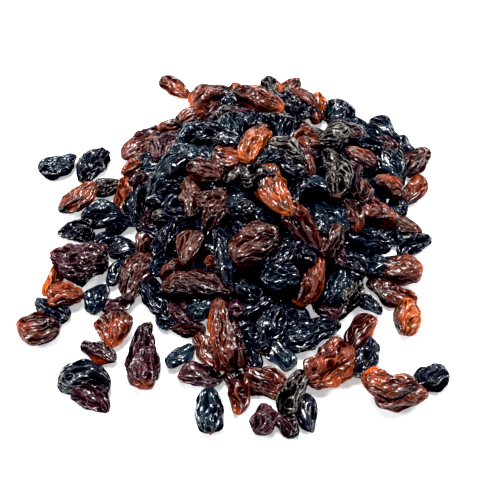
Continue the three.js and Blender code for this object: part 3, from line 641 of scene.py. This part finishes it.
def hand_over(piece, material):
    """Gives a finished piece its material in a slot and its body, and hides the solid model's
    parts.
    """
    piece.data.materials.append(material)
    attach(piece, "root")
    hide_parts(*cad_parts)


def raisin_part(raisin, index, template):
    """A finished raisin, with the marks that its skin is coloured and wrinkled by."""
    rng = np.random.default_rng(SHAPE_SEED + index)
    lie = lay_down(raisin, index)
    kind = KINDS[raisin.kind]
    directions = template.directions
    relief, crest, flow = wrinkled_relief(directions, lie.half, kind, rng)
    end = rng.choice((-1, 1))
    to_end = np.arccos(np.clip(end * directions[:, 0], -1, 1))
    relief = relief * (1 - NUB_PINCH * np.exp(-(to_end / NUB_WIDTH) ** 2))
    points = skin_points(lie, directions, relief, rng.uniform(*BLUNTNESS))
    scar = np.exp(-(to_end / SCAR_REACH) ** 2) * (rng.uniform() < SCAR_SHARE)
    # Painted glow: towards a given bright side, the edge mark paints the orange of light shining
    # through the skin where it is thinnest, and the tone there is brighter
    if raisin.edge is None:
        towards = rng.normal(size=3)
        edge = np.zeros(len(points))
        base, sway = rng.uniform(*TONE_BASE), TONE_SWAY
    else:
        base, sway = SIDED_TONE
        bearing = math.radians(raisin.edge)
        towards = lie.axes @ (math.cos(bearing), math.sin(bearing), 0)
        thinness = directions @ towards * EDGE_STEEPNESS + 1 - EDGE_STEEPNESS
        edge = raisin.thin * np.clip(thinness, 0, 1)
    towards = towards / np.linalg.norm(towards)
    tone = base + CLEAR_BRIGHTER * kind.clear + sway * directions @ towards
    tone += TONE_PATCH * smooth_noise(directions * lie.half, TONE_PATCH_LENGTH, rng)
    tone = np.clip(tone, 0, 1)
    # open_sky fades the gloss and the painted pale crests towards the undersides, as painted shade
    facing = directions / lie.half
    facing_up = facing @ lie.axes[:, 2] / np.linalg.norm(facing, axis=1)
    open_sky = np.clip((facing_up - SHELTERED) / (OPEN_TO_SKY - SHELTERED), 0, 1)
    marks = dict(crest=crest, tone=tone, edge=edge, scar=scar, open_sky=open_sky, flow=flow)
    return Part(template, points, marks)


def add_node(tree, kind, inputs=(), **settings):
    """Adds a node with its settings, and sets or links each of its inputs."""
    node = tree.nodes.new(kind)
    for name, value in settings.items():
        setattr(node, name, value)
    for name, value in dict(inputs).items():
        socket = node.inputs[name]
        if isinstance(value, bpy.types.NodeSocket):
            tree.links.new(value, socket)
        else:
            socket.default_value = value
    return node


def blank_material(name):
    """A new material and its node tree, with no nodes in it yet."""
    material = bpy.data.materials.new(name)
    material.use_nodes = True
    material.node_tree.nodes.clear()
    return material, material.node_tree


def skin_material(name, context):
    """Sun-dried grape skin: tough and waxy, so each ridge carries a crisp light line, partly its
    gloss and partly painted light, with flesh under it that is nearly black in the dark kinds and
    lets light through in the brown ones, with a painted glow at their edges."""
    kind, colours, finish = KINDS[name], context.scene.raisin_colours, context.scene.raisin_finish
    material, tree = blank_material(f"sun_dried_skin_{name}")
    place = add_node(tree, "ShaderNodeTexCoord").outputs["Object"]
    crest, tone, edge, scar, open_sky = (
        add_node(tree, "ShaderNodeAttribute", attribute_name=mark).outputs["Fac"]
        for mark in ("crest", "tone", "edge", "scar", "open_sky")
    )
    mottle = add_node(tree, "ShaderNodeTexNoise", {
        "Vector": place, "Scale": 1 / finish.mottle_size, "Detail": 3, "Roughness": 0.6,
    }).outputs["Fac"]
    grain = add_node(tree, "ShaderNodeTexNoise", {
        "Vector": place, "Scale": 1 / finish.grain_size, "Detail": 1, "Roughness": 0.5,
    }).outputs["Fac"]

    # Fine wrinkles run along the raisin, between cells that are longer than wide.
    flow = add_node(tree, "ShaderNodeAttribute", attribute_name="flow").outputs["Vector"]
    flow = add_node(tree, "ShaderNodeVectorMath", {0: flow, 1: (1 / WRINKLE_STRETCH, 1, 1)},
                    operation="MULTIPLY").outputs[0]
    to_wrinkle = add_node(tree, "ShaderNodeTexVoronoi", {
        "Vector": flow, "Scale": MM / finish.wrinkle_size,
    }, feature="DISTANCE_TO_EDGE").outputs["Distance"]
    wrinkle, line = (
        add_node(tree, "ShaderNodeMapRange", {
            "Value": to_wrinkle, "From Max": width, "To Min": 1.0, "To Max": 0.0,
        }).outputs["Result"]
        for width in (FINE_WRINKLE, PALE_LINE)
    )
    relief = add_node(tree, "ShaderNodeMath", {0: grain, 1: GRAIN_SHARE, 2: wrinkle},
                      operation="MULTIPLY_ADD").outputs[0]
    raised = add_node(tree, "ShaderNodeMix", {0: LINE_SHARE, 2: crest, 3: line}).outputs[0]
    exposed = add_node(tree, "ShaderNodeMath", {0: raised, 1: open_sky},
                       operation="MULTIPLY").outputs[0]

    # Each raisin runs from nearly black to its kind's colour and is patchy in itself; its colour is
    # darkened between its ridges as painted shade and lightened along their crests as painted
    # light.
    patchy = add_node(tree, "ShaderNodeMapRange", {"Value": mottle, **PATCHES}).outputs["Result"]
    lit = add_node(tree, "ShaderNodeMapRange", {
        "Value": raised, **RIDGE_SHADES, "To Min": finish.valley_shade + CLEAR_VALLEY * kind.clear,
    }).outputs["Result"]
    shade = add_node(tree, "ShaderNodeMath", {0: patchy, 1: lit}, operation="MULTIPLY").outputs[0]
    skin = add_node(tree, "ShaderNodeMix", {
        0: tone, 6: (*colours.deep, 1), 7: (*getattr(colours, name), 1),
    }, data_type="RGBA").outputs[2]
    skin = add_node(tree, "ShaderNodeVectorMath", {0: skin, "Scale": shade},
                    operation="SCALE").outputs[0]

    # Pale specks along the upward crests: partly real wax and dust, partly painted highlight. Then
    # the painted glow of light through the edges, and the stem scar.
    speck = add_node(tree, "ShaderNodeMapRange", {"Value": grain, **SPECKS}).outputs["Result"]
    rubbed = add_node(tree, "ShaderNodeMapRange", {
        "Value": exposed, **DUST_AND_HIGHLIGHT_SPAN, "To Max": kind.rubbed,
    }).outputs["Result"]
    rubbed = add_node(tree, "ShaderNodeMath", {0: rubbed, 1: speck},
                      operation="MULTIPLY").outputs[0]
    for amount, colour in (
        (rubbed, getattr(colours, kind.bloom)), (edge, colours.edge), (scar, colours.scar),
    ):
        skin = add_node(tree, "ShaderNodeMix", {0: amount, 6: skin, 7: (*colour, 1)},
                        data_type="RGBA").outputs[2]

    rough = add_node(tree, "ShaderNodeMapRange", {
        "Value": mottle, **MOTTLED,
        "To Min": kind.rough - finish.rough_spread, "To Max": kind.rough + finish.rough_spread,
    }).outputs["Result"]
    gloss = add_node(tree, "ShaderNodeMapRange", {
        "Value": exposed, "From Min": kind.bare, "From Max": kind.bare + finish.gloss_edge,
        "To Max": kind.gloss,
    }).outputs["Result"]
    bumpy = add_node(tree, "ShaderNodeBump", {
        "Height": relief, "Strength": min(kind.wrinkles, 1), "Distance": finish.wrinkle_depth,
    }).outputs["Normal"]
    surface = add_node(tree, "ShaderNodeBsdfPrincipled", {
        "Base Color": skin, "Roughness": rough, "Normal": bumpy, "IOR": SKIN_IOR,
        "Specular IOR Level": 0.0, "Coat Weight": gloss, "Coat Roughness": finish.gloss_roughness,
        "Coat IOR": WAX_IOR, "Coat Normal": bumpy, "Subsurface Weight": kind.clear,
        "Subsurface Radius": FLESH_RADIUS, "Subsurface Scale": finish.light_depth,
    })
    add_node(tree, "ShaderNodeOutputMaterial", {"Surface": surface.outputs["BSDF"]})
    return material


def core_material(context):
    """The shaded inside of the heap, seen only through the gaps: near-black skins, as painted
    shade.
    """
    colours = context.scene.raisin_colours
    material, tree = blank_material("shaded_skins")
    place = add_node(tree, "ShaderNodeTexCoord").outputs["Object"]
    mottle = add_node(tree, "ShaderNodeTexNoise", {
        "Vector": place, "Scale": 1 / (CORE_MOTTLE * MM),
    }).outputs["Fac"]
    colour = add_node(tree, "ShaderNodeMix", {
        0: mottle, 6: (*colours.gap, 1), 7: (*colours.inside, 1),
    }, data_type="RGBA").outputs[2]
    surface = add_node(tree, "ShaderNodeBsdfPrincipled", {
        "Base Color": colour, "Roughness": 0.6, "Specular IOR Level": 0.1,
    })
    add_node(tree, "ShaderNodeOutputMaterial", {"Surface": surface.outputs["BSDF"]})
    return material


def floor_material(colour, glow):
    """Matt opal acrylic, lit a little from below: pale all over, with soft light shadows."""
    material, tree = blank_material("matt_opal_acrylic")
    place = add_node(tree, "ShaderNodeTexCoord").outputs["Object"]
    cloud = add_node(tree, "ShaderNodeTexNoise", {
        "Vector": place, "Scale": 1 / (CLOUD_SIZE * MM),
    }).outputs["Fac"]
    darker = tuple(CLOUD_SHADE * channel for channel in colour)
    blend = add_node(tree, "ShaderNodeMix", {0: cloud, 6: (*darker, 1), 7: (*colour, 1)},
                     data_type="RGBA").outputs[2]
    surface = add_node(tree, "ShaderNodeBsdfPrincipled", {
        "Base Color": blend, "Roughness": 0.7, "Emission Color": blend, "Emission Strength": glow,
    })
    add_node(tree, "ShaderNodeOutputMaterial", {"Surface": surface.outputs["BSDF"]})
    return material


def length_property(name, description, millimetres):
    """A length that a user may change, with its default in mm."""
    return FloatProperty(name=name, description=description, default=millimetres * MM,
                         unit="LENGTH")


def share_property(name, description, default, least=0):
    """A share that a user may change, up to 1."""
    return FloatProperty(name=name, description=description, default=default, min=least, max=1,
                         subtype="FACTOR")


def colour_property(name, description, hex_colour):
    """A colour that a user may change, with its default in sRGB hex."""
    return FloatVectorProperty(name=name, description=description, default=linear(hex_colour),
                               size=3, min=0, max=1, subtype="COLOR")


class RaisinFinish(bpy.types.PropertyGroup):
    """Sizes of what is too fine to model, and how the skins take light"""
    mottle_size: length_property("Mottle size", "Width of a patch of skin colour", 2.4)
    wrinkle_size: length_property("Wrinkle size", "Space between the fine wrinkles", 1.0)
    wrinkle_depth: length_property("Wrinkle depth", "Height of the fine wrinkles", 0.34)
    grain_size: length_property("Grain size", "Width of the bumps on the skin", 0.8)
    light_depth: length_property("Light depth", "How far light goes into clear flesh", 2.2)
    # painted shade: how dark the skin's colour is painted between the ridges
    valley_shade: share_property("Valley shade", "Brightness of the skin between ridges", 0.15)
    gloss_edge: share_property("Gloss edge", "Height over which the gloss sets in", 0.3, 0.01)
    rough_spread: share_property("Roughness spread", "Unevenness of the skin's gloss", 0.08)
    gloss_roughness: share_property("Gloss roughness", "Blur of the waxy highlights", 0.10)


class RaisinColours(bpy.types.PropertyGroup):
    """Skin colour of each kind of raisin, and of the marks on it"""
    blue: colour_property("Blue-black", "Skin of the glossy blue-black raisins", "#0c181f")
    black: colour_property("Black", "Skin of the ridged black raisins", "#0a0d13")
    grey: colour_property("Grey", "Skin of the rough grey-black raisins", "#120f0c")
    plum: colour_property("Plum", "Skin of the plum-coloured raisins", "#2d151a")
    wine: colour_property("Wine", "Skin of the dark red glossy raisins", "#43180b")
    brown: colour_property("Brown", "Skin of the dark brown raisins", "#381913")
    red: colour_property("Red-brown", "Skin of the red-brown raisins", "#622611")
    amber: colour_property("Amber", "Skin of the amber raisins", "#8a3b0e")
    deep: colour_property("Deep", "The darkest skin on any raisin", "#0a0507")
    # Pale crest colours: partly the real colour of wax and dust, partly painted sheen on upward
    # crests
    dust_and_sheen: colour_property("Dust", "Pale wax and dust on the crests of the brown kinds", "#94786a")
    ash_and_sheen: colour_property("Ash", "Pale dust on the crests of the grey kind", "#948a80")
    # partly the real waxy coat, partly a painted bluish highlight along the crests
    frost_and_sheen: colour_property("Frost", "Bluish bloom on the crests of the black kinds", "#6488a4")
    # Painted glow of light shining through a raisin's edge, painted into the skin's colour
    edge: colour_property("Thin edge", "Edge that lets light through", "#c24c12")
    scar: colour_property("Stem scar", "Where the stem came off", "#c98a55")
    # Painted shade: the near-black colours of the heap's core, which stand for the shade between
    # raisins
    gap: colour_property("Gap", "The darkest of what shows between the raisins", "#020203")
    inside: colour_property("Inside", "The lightest of what shows between the raisins", "#0b0607")


class RaisinStage(bpy.types.PropertyGroup):
    """Table, light and view"""
    table_colour: colour_property("Table", "Colour of the pale table", "#f6f7f8")
    table_size: length_property("Table size", "Side of the table", 4000)
    table_glow: FloatProperty(name="Table glow", description="Brightness of the light from below",
                              default=0.42, min=0)
    key_power: FloatProperty(name="Main light", default=14.0, unit="POWER",
                             description="Power of the large light behind the heap")
    key_size: length_property("Main light size", "Side of the large light", 420)
    fill_power: FloatProperty(name="Side lights", default=4.1, unit="POWER",
                              description="Power of each of the two smaller lights")
    fill_size: length_property("Side light size", "Side of the two smaller lights", 200)
    black_level: FloatVectorProperty(name="Black level", size=3, min=0, precision=4,
                                     description="Light that the picture shows as black",
                                     default=(0.0053, 0.0060, 0.0028))
    white_level: FloatProperty(name="White level", default=0.85, min=0.1,
                               description="Light that the picture shows as white")
    sky: FloatProperty(name="Sky", description="Brightness of the light from all round",
                       default=0.10, min=0)
    sky_colour: colour_property("Sky colour", "Colour of the light from all round", "#b4cdf2")


def add_kinds(context, *names):
    """Adds one piece for each kind, of all its raisins, and returns what an operator does."""
    for name in names:
        parts = []
        for index, raisin in enumerate(layout()):
            if raisin.kind == name:
                detail = LONG_DETAIL if raisin.length >= LONG_RAISIN_FROM else SHORT_DETAIL
                parts.append(raisin_part(raisin, index, sphere_template(*detail)))
        hand_over(joined_mesh(KINDS[name].piece, parts), skin_material(name, context))
    return {"FINISHED"}


def buried_layout():
    """Raisins under the ones that show, on a loose grid over the heap."""
    draw = draws(FILL_SEED + 1)
    steps = np.arange(-REACHES.max(), REACHES.max(), BURIED_SPACING)
    for dx in steps:
        for dy in steps:
            x = HEAP_X + dx + BURIED_SPACING * (next(draw) - 0.5)
            y = HEAP_Y + dy + BURIED_SPACING * (next(draw) - 0.5)
            turn, deeper = 180 * next(draw), BURIED_DEEPER * next(draw)
            in_hollow = math.hypot(x - HOLLOW_X, y - HOLLOW_Y) < HOLLOW_REACH
            if outward(x, y) < CORE_REACH and not in_hollow:
                depth = min(BURIED_DEPTH + deeper, max(heap_height(x, y) - HEAP_RIM, 0))
                yield Raisin(True, x, y, BURIED_LENGTH, BURIED_WIDTH, turn, -depth, 0, "blue")


def core_points(directions):
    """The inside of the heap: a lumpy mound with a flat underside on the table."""
    up, side, back = directions.T
    angle = np.arctan2(back, side)
    away = CORE_REACH * reach_towards(angle) * np.hypot(side, back)
    x, y = HEAP_X + away * np.cos(angle), HEAP_Y + away * np.sin(angle)
    flat = np.stack((x, y, np.zeros(len(x))), axis=1)
    lumps = CORE_LUMP * smooth_noise(flat, CORE_LUMP_LENGTH, np.random.default_rng(FILL_SEED))
    z = np.where(up > 0, np.maximum(heap_height(x, y) - CORE_SUNK + lumps, CORE_RIM), 0)
    return np.stack((x, y, z), axis=1)


class RAISINS_OT_dark(bpy.types.Operator):
    """Add the blue-black, the ridged black and the grey-black raisins"""
    bl_idname = "raisins.add_dark"
    bl_label = "Dark Raisins"
    bl_options = {"REGISTER", "UNDO"}

    def execute(self, context):
        return add_kinds(context, "blue", "black", "grey")


class RAISINS_OT_brown(bpy.types.Operator):
    """Add the plum, the wine-red and the dark brown raisins"""
    bl_idname = "raisins.add_brown"
    bl_label = "Brown Raisins"
    bl_options = {"REGISTER", "UNDO"}

    def execute(self, context):
        return add_kinds(context, "plum", "wine", "brown")


class RAISINS_OT_clear(bpy.types.Operator):
    """Add the red-brown and the amber raisins, which let light through"""
    bl_idname = "raisins.add_clear"
    bl_label = "Clear Raisins"
    bl_options = {"REGISTER", "UNDO"}

    def execute(self, context):
        return add_kinds(context, "red", "amber")


class RAISINS_OT_buried(bpy.types.Operator):
    """Add the raisins inside the heap and the core under them"""
    bl_idname = "raisins.add_buried"
    bl_label = "Inside of the Heap"
    bl_options = {"REGISTER", "UNDO"}

    def execute(self, context):
        parts = [
            raisin_part(raisin, len(layout()) + index, sphere_template(*BURIED_DETAIL))
            for index, raisin in enumerate(buried_layout())
        ]
        hand_over(joined_mesh("buried_raisins", parts), skin_material("black", context))

        template = sphere_template(*LONG_DETAIL)
        core = joined_mesh("heap_core", [Part(template, core_points(template.directions), {})])
        bpy.ops.object.select_all(action="DESELECT")
        bpy.ops.mesh.primitive_cylinder_add(
            vertices=HOLLOW_SIDES, radius=HOLLOW_FLOOR * MM, depth=4 * HEAP_RISE * MM,
            location=(HOLLOW_X * MM, HOLLOW_Y * MM, 0))
        shaft = context.object
        cut = core.modifiers.new("hollow", "BOOLEAN")
        cut.operation, cut.object = "DIFFERENCE", shaft
        context.view_layer.objects.active = core
        bpy.ops.object.modifier_apply(modifier=cut.name)
        bpy.data.objects.remove(shaft)
        hand_over(core, core_material(context))
        return {"FINISHED"}


def aim(thing):
    """Turns a light or the camera so that it looks at the origin."""
    thing.rotation_euler = (Vector() - thing.location).to_track_quat("-Z", "Y").to_euler()


class RAISINS_OT_stage(bpy.types.Operator):
    """Add the pale table, the soft light and the camera"""
    bl_idname = "raisins.add_stage"
    bl_label = "Table, Light and Camera"
    bl_options = {"REGISTER", "UNDO"}

    def execute(self, context):
        stage, scene = context.scene.raisin_stage, context.scene
        bpy.ops.object.select_all(action="DESELECT")
        bpy.ops.mesh.primitive_plane_add(size=stage.table_size, location=(0, 0, -TABLE_GAP * MM))
        table = context.object
        table.name = "table"
        table.data.materials.append(floor_material(tuple(stage.table_colour), stage.table_glow))

        for name, power, size, place in (
            ("main_light", stage.key_power, stage.key_size, (-0.10, 0.30, 0.80)),
            ("side_light", stage.fill_power, stage.fill_size, (-0.62, -0.20, 0.52)),
            ("far_light", stage.fill_power, stage.fill_size, (0.60, 0.25, 0.50)),
        ):
            bpy.ops.object.light_add(type="AREA", location=place)
            light = context.object
            light.name, light.data.energy, light.data.size = name, power, size
            aim(light)

        world = bpy.data.worlds.new("pale_room")
        world.use_nodes = True
        world.node_tree.nodes.clear()
        sky = add_node(world.node_tree, "ShaderNodeBackground", {
            "Color": (*stage.sky_colour, 1), "Strength": stage.sky,
        })
        add_node(world.node_tree, "ShaderNodeOutputWorld", {"Surface": sky.outputs[0]})
        scene.world = world

        back = Vector((0, -math.cos(CAMERA_RISE), math.sin(CAMERA_RISE)))
        bpy.ops.object.camera_add(location=CAMERA_DISTANCE * back)
        camera = context.object
        camera.data.lens = camera.data.sensor_width * CAMERA_DISTANCE / PICTURE_WIDTH
        aim(camera)
        scene.camera = camera
        view = scene.view_settings
        view.view_transform, view.use_curve_mapping = "Standard", True
        view.curve_mapping.black_level = stage.black_level
        view.curve_mapping.white_level = (stage.white_level,) * 3
        view.curve_mapping.update()
        return {"FINISHED"}


class RAISINS_PT_panel(bpy.types.Panel):
    """Lists the pieces of the heap and the values that shape and colour them"""
    bl_idname = "RAISINS_PT_panel"
    bl_label = "Raisin Heap"
    bl_space_type = "VIEW_3D"
    bl_region_type = "UI"
    bl_category = "Raisins"

    def draw(self, context):
        for operator in OPERATORS:
            self.layout.operator(operator.bl_idname)
        for name, group in GROUPS.items():
            for value in group.__annotations__:
                self.layout.prop(getattr(context.scene, name), value)


GROUPS = {
    "raisin_finish": RaisinFinish,
    "raisin_colours": RaisinColours,
    "raisin_stage": RaisinStage,
}
OPERATORS = (
    RAISINS_OT_buried, RAISINS_OT_dark, RAISINS_OT_brown, RAISINS_OT_clear, RAISINS_OT_stage,
)


def register():
    for item in (*GROUPS.values(), *OPERATORS, RAISINS_PT_panel):
        bpy.utils.register_class(item)
    for name, group in GROUPS.items():
        setattr(bpy.types.Scene, name, PointerProperty(type=group))


def unregister():
    for name in GROUPS:
        delattr(bpy.types.Scene, name)
    for item in reversed((*GROUPS.values(), *OPERATORS, RAISINS_PT_panel)):
        bpy.utils.unregister_class(item)


def main():
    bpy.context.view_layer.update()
    register()
    bpy.ops.raisins.add_buried()
    bpy.ops.raisins.add_dark()
    bpy.ops.raisins.add_brown()
    bpy.ops.raisins.add_clear()
    bpy.ops.raisins.add_stage()


if __name__ == "__main__":
    main()
